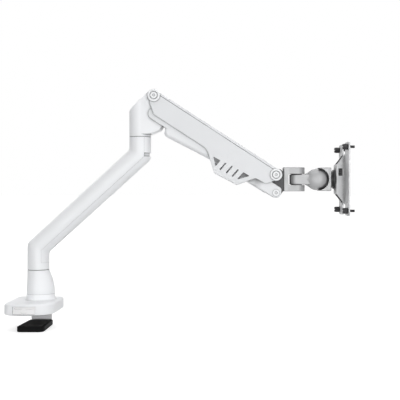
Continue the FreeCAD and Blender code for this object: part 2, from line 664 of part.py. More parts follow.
# ---------------------------------------------------------------- gas spring
def along_spring(shape):
    """From the spring's own line, rear eye at x = 0, to the upper arm's frame."""
    placed = shape.copy()
    placed.translate(V(-SPRING_LENGTH, 0, 0))
    placed.rotate(V(0, 0, 0), V(0, 1, 0), -SPRING_SWING)
    placed.translate(V(SPRING_FRONT_X, 0, SPRING_FRONT_Z))
    return placed


def gas_cylinder():
    barrel = disc_x(66.0, 186.0, CYLINDER_R, 0, 0)
    barrel = barrel.makeFillet(1.5, edges_at(barrel, "X", 66.0) + edges_at(barrel, "X", 186.0))
    chamber = disc_x(75.0, 178.0, 6.6, 0, 0)
    guide = disc_x(60.0, 80.0, ROD_R + FIT, 0, 0)
    barrel = barrel.cut(Part.makeCompound([chamber, guide]))
    neck = disc_x(185.0, 192.0, 4.5, 0, 0)
    eye = disc_y(SPRING_LENGTH, 0, 6.8, -6.0, 6.0)
    body = fused(barrel, neck, eye).cut(disc_y(SPRING_LENGTH, 0, 3.5, -8, 8))
    return along_spring(body)


def gas_rod():
    rod = disc_x(9.0, 150.0, ROD_R, 0, 0)
    piston = disc_x(142.0, 150.0, 6.5, 0, 0)
    return along_spring(fused(rod, piston))


def rod_eye():
    """End fitting, with an eye that clears the anchor pin all round."""
    eye = disc_y(0, 0, 7.0, -4.0, 4.0)
    neck = box(0.0, 9.0, -4.0, 4.0, -5.0, 5.0)
    socket = disc_x(8.6, 16.0, 5.4, 0, 0)
    fitting = fused(eye, neck, socket).cut(disc_x(9.0, 20.0, ROD_R, 0, 0))
    return along_spring(fitting.cut(disc_y(0, 0, 5.0, -9, 9)))


def cylinder_pin():
    return disc_y(SPRING_FRONT_X, SPRING_FRONT_Z, 3.5, -PLATE_OUT, PLATE_OUT)


# ---------------------------------------------------------------- lower link
def link_plan(inset):
    """Seen from above: full width at both ends and a waist behind the casing's vents."""
    wide, waist = PLATE_OUT - inset, 15.0 - inset
    right = [(20.0, wide, 0), (104.0, wide, 30.0), (122.0, waist, 30.0), (196.0, waist, 12.0),
             (206.0, wide, 12.0), (ARM_LENGTH + 10.0, wide, 0)]
    left = [(x, -y, r) for x, y, r in reversed(right)]
    return prism_z(right + left, -30.0, 12.0)


def link_channel(side, inset, rounding):
    """One skin of the trough: its side view, its plan and its rounded bottom edges."""
    skin = prism_y(side, -30.0, 30.0).common(link_plan(inset))
    low = [edge for edge in skin.Edges if edge.BoundBox.ZMax < -8.0 and abs(edge.CenterOfMass.y) > 10.0]
    return skin.makeFillet(rounding, low)


def lower_link():
    """Cast link: flat bars at the eyes and a rounded trough between them."""
    outer = link_channel([(26.6, -4.0, 0), (218.0, -4.0, 0), (218.0, -9.8, 0), (118.0, -12.3, 500.0),
                          (32.0, -20.8, 8.0), (26.6, -10.0, 3.0)], 0.0, 5.5)
    inner = link_channel([(20.0, 12.0, 0), (240.0, 12.0, 0), (240.0, -7.6, 0), (118.0, -10.2, 500.0),
                          (34.0, -18.4, 5.0), (29.0, -9.0, 3.0)], 2.0, 3.8)
    side = prism_y([(0, 5.5, 0), (202.0, 5.5, 6.0), (209.0, 10.7, 6.0), (ARM_LENGTH + 3.4, 10.7, 4.5),
                    (ARM_LENGTH + 8.4, 2.0, 3.0), (ARM_LENGTH, -8.4, 0), (120, -9.2, 0), (0, -9.2, 0)],
                   -PLATE_OUT, PLATE_OUT)
    side = side.common(fused(link_plan(0.0), box(-1, 30, -PLATE_OUT, PLATE_OUT, -30, 6)))
    eyes = [disc_y(0, 0, 9.2, -PLATE_OUT, PLATE_OUT), disc_y(ARM_LENGTH, 0, 8.4, -PLATE_OUT, PLATE_OUT)]
    clear = [box(-20, 30, -PLATE_IN, PLATE_IN, -30, 20), box(218, 250, -PLATE_IN, PLATE_IN, -30, 20)]
    link = fused(outer, side, *eyes).cut(Part.makeCompound([inner] + clear))
    link = link.cut(disc_y(0, 0, BUSH_R, -LINK_BLIND, LINK_BLIND))
    return link.cut(disc_y(ARM_LENGTH, 0, PIN_R, -25, 25))


def link_bushes():
    return both_sides(ring_y(0, 0, BUSH_R, PIN_R + FIT, PLATE_IN, LINK_BLIND))


def front_lower_pin():
    """Pin riveted into the link, with a low round head on each side."""
    shaft = disc_y(ARM_LENGTH, 0, PIN_R, -PLATE_OUT, PLATE_OUT)
    head = disc_y(ARM_LENGTH, 0, 5.4, PLATE_OUT, PLATE_OUT + 1.4)
    head = head.makeFillet(0.7, edges_at(head, "Y", PLATE_OUT + 1.4))
    head = head.cut(disc_y(ARM_LENGTH, 0, 2.4, PLATE_OUT + 0.5, PLATE_OUT + 2))
    return fused(shaft, head, head.mirror(V(0, 0, 0), V(0, 1, 0)))


# ---------------------------------------------------------------- head
def head_yoke():
    """Dark inner casting that both front pivots run in."""
    low_z = FRONT_Z - LINK_DROP
    body = prism_y([(FRONT_X, FRONT_Z + 9.0, 0), (FRONT_X + 8.0, FRONT_Z + 9.0, 4.0),
                    (FORK_BACK, FRONT_Z + 3.0, 0), (FORK_BACK, FORK_BOTTOM + 1.0, 0),
                    (FRONT_X + 4.0, low_z - 7.4, 0), (FRONT_X, low_z - 8.4, 0), (FRONT_X - 6.0, low_z, 0),
                    (FRONT_X - 6.0, FRONT_Z, 0)], -BRACKET_HALF, BRACKET_HALF)
    rounds = [disc_y(FRONT_X, FRONT_Z, 9.0, -BRACKET_HALF, BRACKET_HALF),
              disc_y(FRONT_X, low_z, 8.4, -BRACKET_HALF, BRACKET_HALF)]
    yoke = fused(body, *rounds)
    bores = [disc_y(FRONT_X, z, BUSH_R, -25, 25) for z in (FRONT_Z, low_z)]
    bolts = [disc_x(FORK_BACK - 9.0, FORK_BACK + 1.0, 2.0, y, HEAD_Z - 6.0) for y in (-9.0, 9.0)]
    return yoke.cut(Part.makeCompound(bores + bolts))


def yoke_bushes():
    upper = ring_y(FRONT_X, FRONT_Z, BUSH_R, PIN_R + FIT, -BRACKET_HALF, BRACKET_HALF)
    lower = ring_y(FRONT_X, FRONT_Z - LINK_DROP, BUSH_R, PIN_R + 0.35, -BRACKET_HALF, BRACKET_HALF)
    return Part.makeCompound([upper, lower])


def head_fork():
    """Machined C-shaped block whose two ears hold the swivel pin."""
    plan = fused(prism_z([(FORK_BACK, -16.5, 2.0), (FORK_FACE, -16.5, 3.0), (SWIVEL_X, -EAR_R, 0),
                          (SWIVEL_X, EAR_R, 0), (FORK_FACE, 16.5, 3.0), (FORK_BACK, 16.5, 2.0)],
                         FORK_BOTTOM, FORK_TOP),
                 disc_z(FORK_BOTTOM, FORK_TOP, EAR_R, SWIVEL_X))
    plan = plan.makeFillet(0.8, edges_at(plan, "Z", FORK_TOP) + edges_at(plan, "Z", FORK_BOTTOM))
    slot = prism_y([(FORK_FACE, SLOT_BOTTOM, 2.5), (450, SLOT_BOTTOM, 0), (450, SLOT_TOP, 0),
                    (FORK_FACE, SLOT_TOP, 2.5)], -25, 25)
    fork = plan.cut(slot).cut(disc_z(190, 240, 5.0, SWIVEL_X))
    bolts = []
    for y in (-9.0, 9.0):
        bolts.append(disc_x(FORK_BACK - 1, FORK_FACE + 1, 2.2, y, HEAD_Z - 6.0))
        bolts.append(disc_x(FORK_FACE - 3.0, FORK_FACE + 1, 3.9, y, HEAD_Z - 6.0))
    return fork.cut(Part.makeCompound(bolts))


def fork_screws():
    screws = []
    for y in (-9.0, 9.0):
        screw = socket_screw(2.0, 13.0, 3.6, 2.7, 3.0)
        screw.rotate(V(0, 0, 0), V(0, 1, 0), 90)
        screws.append(screw.translated(V(FORK_FACE - 3.0, y, HEAD_Z - 6.0)))
    return Part.makeCompound(screws)


def swivel_pin():
    pin = disc_z(FORK_BOTTOM + 0.4, FORK_TOP - 0.6, 5.0, SWIVEL_X)
    pin = pin.makeChamfer(0.5, edges_at(pin, "Z", FORK_TOP - 0.6) + edges_at(pin, "Z", FORK_BOTTOM + 0.4))
    return pin.cut(hex_prism(5.0, 4.0).translate(V(SWIVEL_X, 0, FORK_TOP - 4.0)))


TONGUE_LOW, TONGUE_HIGH = SLOT_BOTTOM + 1.1, SLOT_TOP - 1.1
TONGUE_R = 11.4


def swivel_washers():
    rings = []
    for z0, z1 in ((SLOT_BOTTOM, TONGUE_LOW - 0.1), (TONGUE_HIGH + 0.1, SLOT_TOP)):
        rings.append(disc_z(z0, z1, 9.0, SWIVEL_X).cut(disc_z(z0 - 1, z1 + 1, 5.0, SWIVEL_X)))
    return Part.makeCompound(rings)


def bulb():
    """Short barrel with two domed ends, turned about the tilt axis."""
    edge, dome = 8.6, 17.6
    far = Part.Arc(V(BULB_R, edge, 0), V(12.0, 15.2, 0), V(0, dome, 0)).toShape()
    near = Part.Arc(V(0, -dome, 0), V(12.0, -15.2, 0), V(BULB_R, -edge, 0)).toShape()
    rim = Part.LineSegment(V(BULB_R, -edge, 0), V(BULB_R, edge, 0)).toShape()
    axis = Part.LineSegment(V(0, dome, 0), V(0, -dome, 0)).toShape()
    wire = Part.Wire([rim, far, axis, near])
    return Part.Face(wire).revolve(V(0, 0, 0), V(0, 1, 0), 360).translated(V(TILT_X, 0, HEAD_Z))


def knuckle_neck():
    """Flare from the tongue's end out to the barrel, hollowed so that it clears the fork's ears."""
    rings = []
    for before, half_width, half_height in ((23.0, 11.6, 7.4), (18.4, 12.4, 9.3), (14.0, 13.9, 12.0),
                                            (8.9, 15.6, 15.0)):
        middle = V(TILT_X - before, 0, HEAD_Z)
        oval = Part.Ellipse(middle + V(0, half_width, 0), middle + V(0, 0, half_height), middle)
        rings.append(Part.Wire(oval.toShape()))
    flare = Part.makeLoft(rings, True, False)
    swept = [disc_z(z0, z1, EAR_R + 0.6, SWIVEL_X) for z0, z1 in ((TONGUE_HIGH, 250), (180, TONGUE_LOW))]
    return flare.cut(Part.makeCompound(swept))


def knuckle():
    """Swivel tongue that swells into two domed cheeks around the tilt pin."""
    tongue = fused(disc_z(TONGUE_LOW, TONGUE_HIGH, TONGUE_R, SWIVEL_X),
                   prism_z([(SWIVEL_X, -TONGUE_R, 0), (TILT_X - 4.0, -13.5, 0), (TILT_X - 4.0, 13.5, 0),
                            (SWIVEL_X, TONGUE_R, 0)], TONGUE_LOW, TONGUE_HIGH))
    rims = edges_at(tongue, "Z", TONGUE_HIGH) + edges_at(tongue, "Z", TONGUE_LOW)
    tongue = tongue.makeFillet(1.0, [edge for edge in rims if edge.BoundBox.XMin < TILT_X - 6.0])
    body = fused(tongue, knuckle_neck(), bulb())
    slot = fused(disc_y(TILT_X, HEAD_Z, 17.8, -8.1, 8.1), box(TILT_X, 480, -8.1, 8.1, 190, 240))
    body = body.cut(slot)
    body = body.cut(disc_z(190, 240, 5.0 + FIT, SWIVEL_X))
    return body.cut(disc_y(TILT_X, HEAD_Z, 5.0, -13.5, 25))


def tilt_pin():
    pin = disc_y(TILT_X, HEAD_Z, 5.0, -13.5, 16.6)
    pin = pin.makeChamfer(0.5, edges_at(pin, "Y", 16.6))
    socket = hex_prism(5.0, 4.0)
    socket.rotate(V(0, 0, 0), V(1, 0, 0), -90)
    return pin.cut(socket.translated(V(TILT_X, 12.8, HEAD_Z)))


def tilt_washers():
    return both_sides(ring_y(TILT_X, HEAD_Z, 11.0, 5.0, 7.25, 8.1))


def tilt_block():
    """Cradle behind the knuckle, with a tongue on the tilt pin and a bore for the turning shaft."""
    cradle = prism_y([(TILT_X + 1.0, HEAD_Z - 18.7, 1.0), (BLOCK_FACE, HEAD_Z - 18.9, 2.0),
                      (BLOCK_FACE, HEAD_Z + 18.9, 2.0), (TILT_X + 1.0, HEAD_Z + 18.7, 1.0)], -17.0, 17.0)
    rim = [edge for edge in cradle.Edges if abs(abs(edge.CenterOfMass.y) - 17.0) < 0.01]
    cradle = cradle.makeFillet(1.5, rim)
    cradle = cradle.cut(disc_y(TILT_X, HEAD_Z, 17.9, -20, 20))
    tongue = fused(disc_y(TILT_X, HEAD_Z, 16.8, -7.1, 7.1),
                   box(TILT_X, BLOCK_FACE - 2, -7.1, 7.1, HEAD_Z - 14.0, HEAD_Z + 14.0))
    block = fused(cradle, tongue)
    block = block.cut(disc_y(TILT_X, HEAD_Z, 5.0 + FIT, -20, 20))
    return max(block.cut(disc_x(461.0, 480.0, 6.0)).Solids, key=lambda solid: solid.Volume)


def rotation_shaft():
    shaft = disc_x(461.0, 496.0, 6.0)
    return shaft.makeChamfer(0.8, edges_at(shaft, "X", 496.0))


def ring_washer():
    """Stepped friction disc between the tilt block and the plate's web."""
    ring = disc_x(BLOCK_FACE, WEB_X - 0.2, DISC_R).cut(disc_x(470, 490, 6.0))
    waist = disc_x(BLOCK_FACE + 1.2, WEB_X - 3.2, DISC_R + 1).cut(disc_x(470, 490, DISC_R - 2.4))
    ring = ring.cut(waist)
    return ring.makeChamfer(0.5, [edge for edge in ring.Edges if edge.BoundBox.ZLength > 2 * DISC_R - 0.1])


def friction_hub():
    """Black hub that squeezes the plate's web, with six wrench notches in its rim."""
    start = WEB_X + SHEET + 0.3
    outline = [(6.0, start), (11.2, start), (11.2, start + 8.4), (10.0, start + 9.6), (6.0, start + 9.6)]
    wire = Part.makePolygon([V(x, r, 0) for r, x in outline + outline[:1]])
    hub = Part.Face(wire).revolve(V(0, 0, 0), V(1, 0, 0), 360).translated(V(0, 0, HEAD_Z))
    notches = []
    for i in range(6):
        notch = disc_x(start + 4.0, start + 12.0, 1.8, 0, HEAD_Z + 11.4)
        notch.rotate(V(0, 0, HEAD_Z), V(1, 0, 0), 60 * i + 30)
        notches.append(notch)
    return hub.cut(Part.makeCompound(notches))


def vesa_plate():
    """One folded sheet: a web, two tapering flanges and two drilled wings."""
    face, sheet, side = PLATE_FACE, SHEET, CHANNEL_HALF
    half = [(WEB_X, side, 3.2), (face - sheet, side, 1.0), (face - sheet, PLATE_HALF, 0),
            (face, PLATE_HALF, 0), (face, side - sheet, 3.2), (WEB_X + sheet, side - sheet, 1.0)]
    profile = half + [(x, -y, radius) for x, y, radius in reversed(half)]
    plate = prism_z(profile, HEAD_Z - PLATE_HALF, HEAD_Z + PLATE_HALF)
    low, high = HEAD_Z - PLATE_HALF, HEAD_Z + PLATE_HALF
    square = [(-PLATE_HALF, low, 7.0), (PLATE_HALF, low, 7.0), (PLATE_HALF, high, 7.0),
              (-PLATE_HALF, high, 7.0)]
    plate = plate.common(prism_x(square, WEB_X - 1, face + 1))
    cuts = []
    for up in (-1, 1):
        gap = [(WEB_X - 2, HEAD_Z + up * 23.5, 0), (WEB_X + 1.5, HEAD_Z + up * 23.5, 4.0),
               (face - 1.0, HEAD_Z + up * 42.0, 3.0), (face + 3, HEAD_Z + up * 42.0, 0),
               (face + 3, HEAD_Z + up * 70, 0), (WEB_X - 2, HEAD_Z + up * 70, 0)]
        cuts.append(prism_y(gap, -side - 2.6, side + 2.6))
    window = [(486.0, HEAD_Z + 5.4, 1.5), (494.2, HEAD_Z + 5.4, 1.5), (494.2, HEAD_Z + 17.4, 1.5),
              (486.0, HEAD_Z + 17.4, 1.5)]
    cuts.append(prism_y(window, -side - 1, 0))
    for y in (-50.0, 50.0):
        for z in (-50.0, 50.0):
            cuts.append(disc_x(480, 500, 2.3, y, HEAD_Z + z))
            cuts.append(disc_x(480, 500, 2.3, y * 0.75, HEAD_Z + z * 0.75))
    cuts.append(disc_x(WEB_X - 1, WEB_X + SHEET + 1, 8.0))
    return plate.cut(Part.makeCompound(cuts))


def plate_bush():
    return disc_x(WEB_X, WEB_X + SHEET, 8.0).cut(disc_x(470, 490, 6.0 + FIT))


def thumb_screws():
    seat = PLATE_FACE - SHEET
    screws = []
    for y in (-50.0, 50.0):
        for z in (-50.0, 50.0):
            head = disc_x(seat - 8.8, seat, 4.4, y, HEAD_Z + z)
            head = head.makeChamfer(0.6, [edge for edge in head.Edges if edge.BoundBox.ZLength > 8])
            shoulder = disc_x(seat, PLATE_FACE, 2.3 - FIT, y, HEAD_Z + z)
            shank = disc_x(PLATE_FACE, PLATE_FACE + 8.0, 2.0, y, HEAD_Z + z)
            slot = box(seat - 9, seat - 7.6, y - 5, y + 5, HEAD_Z + z - 0.6, HEAD_Z + z + 0.6)
            screws.append(fused(head, shoulder, shank).cut(slot))
    return Part.makeCompound(screws)


# ---------------------------------------------------------------- assembly
def far_and_near(shape, name):
    return {name + "_far": shape, name + "_near": shape.mirror(V(0, 0, 0), V(0, 1, 0))}


def build():
    parts = {
        "base_housing": base_housing(), "base_pad": base_pad(), "front_insert": front_insert(),
        "base_collar": base_collar(), "base_post": base_post(), "post_screws": post_screws(),
        "base_pole": base_pole(),
        "clamp_bracket": clamp_bracket(), "clamp_nut": clamp_nut(), "clamp_jaw": clamp_jaw(),
        "jaw_pad": jaw_pad(), "jaw_screws": jaw_screws(), "clamp_screw": clamp_screw(),
        "lower_arm_tube": lower_arm_tube(), "cable_cover_long": tube_cover(*LONG_COVER),
        "cable_cover_short": tube_cover(*SHORT_COVER), "pole_bush": pole_bush(),
        "elbow_shaft": elbow_shaft(), "elbow_bracket": elbow_bracket(), "elbow_bush": elbow_bush(),
        "elbow_washer": elbow_washer(),
        "rear_upper_pin": pivot_pin(PIVOT_X, PIVOT_Z, PLATE_OUT + 0.4),
        "rear_lower_pin": pivot_pin(PIVOT_X, PIVOT_Z - LINK_DROP, LINK_BLIND - 0.1),
        "tension_carriage": tension_carriage(), "tension_screw": tension_screw(),
        "spring_anchor_pin": spring_anchor_pin(),
        "head_yoke": head_yoke(), "yoke_bushes": yoke_bushes(), "head_fork": head_fork(),
        "fork_screws": fork_screws(), "swivel_pin": swivel_pin(), "swivel_washers": swivel_washers(),
        "knuckle": knuckle(), "tilt_pin": tilt_pin(), "tilt_washers": tilt_washers(),
        "tilt_block": tilt_block(), "rotation_shaft": rotation_shaft(), "ring_washer": ring_washer(),
        "friction_hub": friction_hub(), "vesa_plate": vesa_plate(), "plate_bush": plate_bush(),
        "thumb_screws": thumb_screws(),
    }
    arm_parts = {
        "arm_frame": arm_frame(), "frame_bushes": frame_bushes(), "cover_screws": cover_screws(),
        "front_upper_pin": front_upper_pin(), "gas_cylinder": gas_cylinder(), "gas_rod": gas_rod(),
        "rod_eye": rod_eye(), "cylinder_pin": cylinder_pin(),
    }
    arm_parts["arm_cover_far"] = arm_cover(BLIND_VENT)
    arm_parts["arm_cover_near"] = arm_cover(OPEN_VENT).mirror(V(0, 0, 0), V(0, 1, 0))
    arm_parts.update(far_and_near(pivot_cap(0, 10.0), "rear_cap"))
    arm_parts.update(far_and_near(pivot_cap(ARM_LENGTH, 9.5), "front_cap"))
    link_parts = {
        "lower_link": lower_link(), "link_bushes": link_bushes(), "front_lower_pin": front_lower_pin(),
    }
    parts.update({name: on_arm(shape) for name, shape in arm_parts.items()})
    parts.update({name: on_link(shape) for name, shape in link_parts.items()})
    return parts


os.makedirs("parts", exist_ok=True)
for node, shape in build().items():
    if not shape.isValid():
        print("invalid:", node)
    shape.exportStep("parts/%s.step" % node)
    print("%-20s solids %d volume %.0f" % (node, len(shape.Solids), shape.Volume))
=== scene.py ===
"""Looks of the monitor arm: coats, mouldings, bright metal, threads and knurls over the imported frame."""
import json
import math

import bpy
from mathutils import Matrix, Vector


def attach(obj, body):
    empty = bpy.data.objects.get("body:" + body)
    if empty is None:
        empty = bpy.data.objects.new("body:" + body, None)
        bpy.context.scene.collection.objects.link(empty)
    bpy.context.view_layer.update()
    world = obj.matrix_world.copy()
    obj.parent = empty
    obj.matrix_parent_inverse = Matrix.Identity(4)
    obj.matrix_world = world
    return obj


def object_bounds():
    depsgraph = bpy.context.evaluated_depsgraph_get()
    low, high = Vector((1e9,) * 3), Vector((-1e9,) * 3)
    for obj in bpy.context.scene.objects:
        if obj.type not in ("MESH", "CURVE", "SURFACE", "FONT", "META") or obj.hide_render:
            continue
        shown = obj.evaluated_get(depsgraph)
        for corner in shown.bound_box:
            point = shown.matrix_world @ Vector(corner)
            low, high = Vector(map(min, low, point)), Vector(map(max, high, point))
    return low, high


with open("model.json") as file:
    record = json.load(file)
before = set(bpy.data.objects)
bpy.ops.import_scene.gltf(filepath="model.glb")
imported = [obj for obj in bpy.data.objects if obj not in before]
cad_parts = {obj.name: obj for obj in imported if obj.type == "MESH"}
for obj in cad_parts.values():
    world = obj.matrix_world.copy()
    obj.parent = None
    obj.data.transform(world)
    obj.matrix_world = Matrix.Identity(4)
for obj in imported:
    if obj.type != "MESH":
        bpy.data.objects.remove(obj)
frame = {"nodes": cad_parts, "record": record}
PACKED_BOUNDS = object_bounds()
NODES = frame["nodes"]
MM = 0.001
# Painted crevice shade is full where a spot sees no more of the sky than NARROW, and gone from OPEN on.
NARROW, OPEN = 0.52, 0.94       # share of the sky seen from a spot in a gap, and from one in the open
# Near black painted into the plate's channel as shade.
PAINTED_CHANNEL_SHADE = (0.012, 0.012, 0.013)
FLOOR_GAP = 0.0002              # metres by which the floor stays clear of the lowest point

# The mounting plate's four studs, and the middle of its outer face in millimetres.
STUDS = next(mount for mount in frame["record"]["mounts"] if mount["name"] == "vesa_100_studs")
PLATE_X, PLATE_Y, PLATE_Z = (round(place / MM, 3) for place in STUDS["pos_m"])


# ---------------------------------------------------------------- shader helpers
class Surface:
    """A principled material whose inputs are fed by small procedural networks."""

    def __init__(self, name, colour, roughness, metallic=0.0, gloss=0.5):
        self.material = bpy.data.materials.new(name)
        self.material.use_nodes = True
        self.tree = self.material.node_tree
        self.shader = self.tree.nodes["Principled BSDF"]
        self.shader.inputs["Metallic"].default_value = metallic
        self.shader.inputs["Roughness"].default_value = roughness
        self.shader.inputs["Base Color"].default_value = (*colour, 1.0)
        self.shader.inputs["Specular IOR Level"].default_value = gloss
        self.colour = colour
        self.place = self.tree.nodes.new("ShaderNodeTexCoord").outputs["Object"]
        self.normal = None

    def node(self, kind, **settings):
        made = self.tree.nodes.new(kind)
        for key, value in settings.items():
            setattr(made, key, value)
        return made

    def link(self, source, target):
        self.tree.links.new(source, target)

    def stretched(self, scales):
        """The piece's own coordinates, squeezed along each axis by these factors."""
        mapping = self.node("ShaderNodeMapping")
        mapping.inputs["Scale"].default_value = scales
        self.link(self.place, mapping.inputs["Vector"])
        return mapping.outputs["Vector"]

    def noise(self, size, detail=3.0, rough=0.55, place=None, distortion=0.0):
        """Noise whose blotches are about this many millimetres across."""
        texture = self.node("ShaderNodeTexNoise")
        texture.inputs["Scale"].default_value = 1.0 / (size * MM)
        texture.inputs["Detail"].default_value = detail
        texture.inputs["Roughness"].default_value = rough
        texture.inputs["Distortion"].default_value = distortion
        self.link(place or self.place, texture.inputs["Vector"])
        return texture.outputs["Fac"]

    def cells(self, size, output="Distance"):
        """Small cells, each about this many millimetres across."""
        texture = self.node("ShaderNodeTexVoronoi", feature="F1")
        texture.inputs["Scale"].default_value = 1.0 / (size * MM)
        self.link(self.place, texture.inputs["Vector"])
        return texture.outputs[output]

    def ranged(self, value, low, high, start=0.3, end=0.7):
        """The value's span from start to end, spread over low to high."""
        spread = self.node("ShaderNodeMapRange", clamp=True)
        for name, number in (("From Min", start), ("From Max", end), ("To Min", low), ("To Max", high)):
            spread.inputs[name].default_value = number
        self.link(value, spread.inputs["Value"])
        return spread.outputs["Result"]

    def combined(self, operation, first, second):
        """A sum, product or the like of two values, each a socket or a plain number."""
        maths = self.node("ShaderNodeMath", operation=operation)
        for socket, value in zip(maths.inputs, (first, second)):
            if isinstance(value, (int, float)):
                socket.default_value = value
            else:
                self.link(value, socket)
        return maths.outputs["Value"]

    def tinted(self, factor, other):
        """Base colour that moves towards another where the factor is high."""
        mix = self.node("ShaderNodeMix", data_type="RGBA")
        colours = [socket for socket in mix.inputs if socket.type == "RGBA"]
        base = self.shader.inputs["Base Color"]
        if base.is_linked:
            self.link(base.links[0].from_socket, colours[0])
        else:
            colours[0].default_value = base.default_value
        colours[1].default_value = (*other, 1.0)
        self.link(factor, mix.inputs["Factor"])
        self.link([socket for socket in mix.outputs if socket.type == "RGBA"][0], base)

    def painted_crevice_shade(self, factor, reach):
        """Painted shade: the colour darkened within this many millimetres of a gap or an inner corner."""
        corner = self.node("ShaderNodeAmbientOcclusion", samples=8)
        corner.inputs["Distance"].default_value = reach * MM
        self.tinted(self.ranged(corner.outputs["AO"], 1.0, 0.0, NARROW, OPEN), shade(self.colour, factor))

    def between(self, axis, low, high):
        """1 where the piece's own place along an axis lies between two distances in millimetres."""
        parts = self.node("ShaderNodeSeparateXYZ")
        self.link(self.place, parts.inputs["Vector"])
        off = self.combined("SUBTRACT", parts.outputs[axis], (low + high) / 2 * MM)
        half, fade = (high - low) / 2 * MM, 0.3 * MM
        return self.ranged(self.combined("ABSOLUTE", off, 0.0), 1.0, 0.0, half, half + fade)

    def rough(self, value):
        self.link(value, self.shader.inputs["Roughness"])

    def soft_edges(self, radius):
        """Round the light off every sharp edge by this many millimetres."""
        bevel = self.node("ShaderNodeBevel", samples=4)
        bevel.inputs["Radius"].default_value = radius * MM
        self.normal = bevel.outputs["Normal"]
        self.link(self.normal, self.shader.inputs["Normal"])

    def bumped(self, height, depth):
        """Relief of this depth in millimetres, on top of what is there."""
        bump = self.node("ShaderNodeBump")
        bump.inputs["Strength"].default_value = 1.0
        bump.inputs["Distance"].default_value = depth * MM
        self.link(height, bump.inputs["Height"])
        if self.normal is not None:
            self.link(self.normal, bump.inputs["Normal"])
        self.normal = bump.outputs["Normal"]
        self.link(self.normal, self.shader.inputs["Normal"])


def shade(colour, factor, cool=0.0):
    """The colour times a factor, with a little moved from red to blue."""
    red, green, blue = (min(channel * factor, 1.0) for channel in colour)
    return red - cool, green, min(blue + cool, 1.0)


# ---------------------------------------------------------------- surfaces
def powder_coat(name, colour, roughness=0.42, peel=0.02, edge=0.5, gloss=0.4, reach=2.5):
    """Baked coat: a faint orange peel, fine grain, handling haze and a few dull rubs."""
    surface = Surface(name, colour, roughness, gloss=gloss)
    surface.soft_edges(edge)
    # Painted shade: the colour darkened in gaps and inner corners.
    surface.painted_crevice_shade(0.08, reach)
    surface.tinted(surface.ranged(surface.noise(38.0, 5.0), 0.0, 0.5), shade(colour, 0.965))
    rubs = surface.noise(9.0, 6.0, 0.65, surface.stretched((1.0, 1.0, 0.35)), 0.6)
    surface.tinted(surface.ranged(rubs, 0.0, 0.35, 0.6, 0.78), shade(colour, 0.93))
    haze = surface.ranged(surface.noise(16.0, 6.0, 0.6), roughness - 0.06, roughness + 0.08)
    surface.rough(haze)
    surface.bumped(surface.noise(1.6, 2.0), peel)
    surface.bumped(surface.noise(0.35, 2.0), peel * 0.25)
    return surface.material


def moulded(name, colour, roughness=0.5, grain=0.012, edge=0.4, reach=2.5):
    """Spark-grained plastic with a little uneven sheen and light scuffs."""
    surface = Surface(name, colour, roughness, gloss=0.4)
    surface.soft_edges(edge)
    # Painted shade: the colour darkened in gaps and inner corners.
    surface.painted_crevice_shade(0.08, reach)
    surface.tinted(surface.ranged(surface.noise(52.0, 4.0), 0.0, 0.5), shade(colour, 0.97))
    scuffs = surface.noise(5.0, 7.0, 0.7, surface.stretched((0.4, 1.0, 1.0)), 1.2)
    surface.tinted(surface.ranged(scuffs, 0.0, 0.3, 0.62, 0.8), shade(colour, 0.92))
    surface.rough(surface.ranged(surface.noise(12.0, 5.0, 0.6), roughness - 0.07, roughness + 0.08))
    surface.bumped(surface.cells(0.45), grain)
    surface.bumped(surface.noise(2.4, 3.0), grain * 0.8)
    return surface.material


def silver_coat(name, colour, reach):
    """Metallic grey coat with tiny bright flakes."""
    roughness = 0.46
    surface = Surface(name, colour, roughness, metallic=0.25)
    surface.soft_edges(0.45)
    # Painted shade: the colour darkened in gaps and inner corners.
    surface.painted_crevice_shade(0.06, reach)
    flakes = surface.cells(0.22, output="Color")
    flake_light = surface.node("ShaderNodeSeparateColor")
    surface.link(flakes, flake_light.inputs["Color"])
    surface.tinted(surface.ranged(flake_light.outputs["Red"], 0.0, 0.55, 0.7, 1.0), shade(colour, 1.18))
    surface.tinted(surface.ranged(surface.noise(24.0, 5.0), 0.0, 0.45), shade(colour, 0.93))
    surface.rough(surface.ranged(surface.noise(7.0, 6.0, 0.62), roughness - 0.06, roughness + 0.09))
    surface.bumped(surface.noise(0.9, 3.0), 0.012)
    return surface


def folded_plate(name, colour):
    """The plate's silver coat, with painted shade: the inside of its channel coloured near black."""
    channel_depth, half_width, past_face = 15.0, 11.9, 1.6
    surface = silver_coat(name, colour, 8.0)
    along = surface.between("X", PLATE_X - channel_depth, PLATE_X + past_face)
    across = surface.between("Y", PLATE_Y - half_width, PLATE_Y + half_width)
    # Painted shade: the channel's inside darkened to near black.
    surface.tinted(surface.combined("MULTIPLY", along, across), PAINTED_CHANNEL_SHADE)
    return surface.material


def bright_metal(name, colour, roughness=0.28, brushing=(1.0, 14.0, 1.0)):
    """Turned or drawn metal: fine lines across its length, smears and small dark spots."""
    surface = Surface(name, colour, roughness, metallic=1.0)
    surface.soft_edges(0.25)
    lines = surface.noise(1.2, 4.0, 0.7, surface.stretched(brushing))
    surface.tinted(surface.ranged(lines, 0.0, 0.5, 0.35, 0.7), shade(colour, 0.8))
    surface.tinted(surface.ranged(surface.noise(4.0, 6.0, 0.7), 0.0, 0.6, 0.64, 0.8), shade(colour, 0.6))
    surface.rough(surface.ranged(surface.noise(3.0, 5.0), roughness - 0.08, roughness + 0.12))
    surface.bumped(lines, 0.006)
    return surface.material


def rubber(name, colour):
    """Matt pad with a pitted skin and pale dust in it."""
    surface = Surface(name, colour, 0.85, gloss=0.2)
    surface.soft_edges(0.4)
    surface.tinted(surface.ranged(surface.noise(6.0, 7.0, 0.7), 0.0, 0.5, 0.5, 0.8), shade(colour, 3.2))
    surface.rough(surface.ranged(surface.noise(2.0, 4.0), 0.75, 0.95))
    surface.bumped(surface.cells(0.5), 0.04)
    return surface.material


COLOURS = {entry["slot"]: tuple(entry["base_color"][:3]) for entry in frame["record"]["materials"]}


def toned(slot, factor, cool=0.0):
    """A slot's colour from the record times a factor, and a little cooler where asked."""
    return shade(COLOURS[slot], factor, cool)


